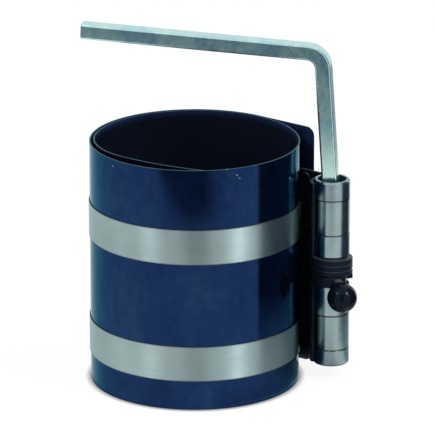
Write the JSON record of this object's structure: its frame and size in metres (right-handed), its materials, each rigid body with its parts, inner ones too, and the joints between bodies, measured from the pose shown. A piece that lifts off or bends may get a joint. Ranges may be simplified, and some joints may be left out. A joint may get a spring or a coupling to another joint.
{
  "type": "piston ring compressor",
  "caption": "Band type piston ring compressor: a coiled spring steel sleeve that bands draw tight when a square key turns their spindle; a knob frees its spring clutch.",
  "frame": {"origin": "on the sleeve's axis, at the level of its bottom edge, which rests on the engine block", "axes": "+Z along the sleeve's axis, up towards the key's arm; +X towards the spindle"},
  "size_m": [0.0892, 0.0686, 0.1141],
  "materials": {
    "blued_steel": "tempered blue, glossy",
    "band_steel": "brushed round the sleeve",
    "black_steel": "blackened, glossy",
    "core_steel": "turned",
    "tube_steel": "smooth",
    "black_plastic": "glossy",
    "zinc_steel": "zinc plated"
  },
  "bodies": {
    "frame": {"sleeve": "blued_steel", "upper_band": "band_steel", "lower_band": "band_steel", "spindle_cradle": "black_steel", "bottom_rivet": "black_steel", "lower_rivet": "black_steel", "upper_rivet": "black_steel", "top_rivet": "black_steel", "clutch_spring": "black_steel"},
    "spindle": {"spindle_core": "core_steel", "top_tube": "tube_steel", "upper_mid_tube": "tube_steel", "lower_mid_tube": "tube_steel", "bottom_tube": "tube_steel", "upper_band_roll": "band_steel", "lower_band_roll": "band_steel", "upper_band_pin": "core_steel", "lower_band_pin": "core_steel"},
    "release": {"release_ring": "black_steel", "knob_stud": "core_steel", "thumb_knob": "black_plastic"},
    "key": {"drive_key": "zinc_steel"}
  },
  "joints": [
    {"name": "spindle_wind", "type": "hinge", "parent": "frame", "child": "spindle", "pos_m": [0.0442, 0.0005, 0.0354], "axis": [0, 0, -1], "range_deg": [-1080, 335]},
    {"name": "knob_release", "type": "hinge", "parent": "frame", "child": "release", "pos_m": [0.0442, 0.0005, 0.033], "axis": [0, 0, -1], "range_deg": [0, 18], "stiffness_Nm_per_rad": 0.1, "springref_deg": -5.73},
    {"name": "key_lift", "type": "slide", "parent": "spindle", "child": "key", "axis": [-0.0648, 0.0138, 0.9978], "range_m": [0, 0.02]}
  ]
}
